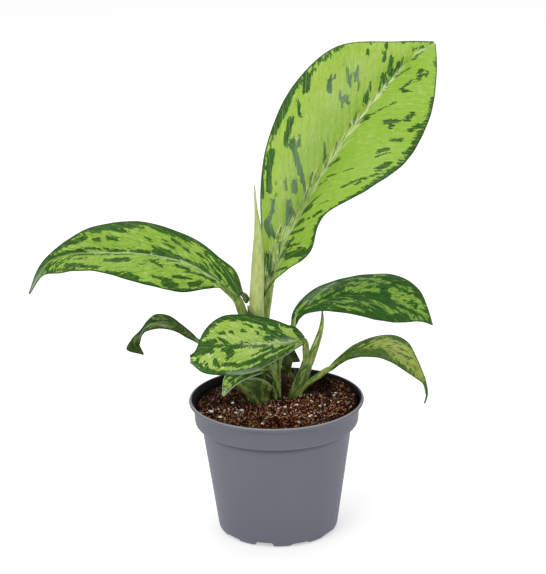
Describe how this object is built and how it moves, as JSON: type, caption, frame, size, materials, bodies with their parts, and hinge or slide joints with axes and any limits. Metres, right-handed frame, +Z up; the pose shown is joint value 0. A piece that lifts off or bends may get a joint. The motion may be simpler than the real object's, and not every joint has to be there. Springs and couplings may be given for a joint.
{
  "type": "potted dieffenbachia",
  "caption": "Young variegated foliage plant with arched leaves, a rolled new leaf and a side shoot, in a round plastic nursery pot filled with soil.",
  "frame": {"origin": "centre of the pot's foot, on the surface it stands on", "axes": "+Z up along the pot's axis; the plant is seen from -Y, with its tall leaf leaning towards +X"},
  "size_m": [0.2764, 0.1425, 0.3245],
  "materials": {
    "pot_plastic": "matte grey-blue moulded plastic",
    "soil_mix": "coarse moist potting mix with perlite",
    "cane_green": "smooth mottled green stem",
    "spear_pale": "satin pale green rolled leaf",
    "leaf_lime": "satin lime leaf with dark green flecks",
    "leaf_variegated": "satin leaf, dark green edge and lime centre",
    "leaf_dark": "satin dark green leaf with olive patches"
  },
  "bodies": {
    "root": {"pot": "pot_plastic", "soil": "soil_mix", "cane_main": "cane_green", "cane_side": "cane_green", "spear_main": "spear_pale", "spear_side": "spear_pale", "leaf_upright": "leaf_lime", "leaf_left_large": "leaf_variegated", "leaf_left_small": "leaf_dark", "leaf_low_front": "leaf_variegated", "leaf_low_back": "leaf_dark", "leaf_right_upper": "leaf_dark", "leaf_front": "leaf_variegated", "leaf_right_lower": "leaf_variegated"}
  },
  "joints": []
}
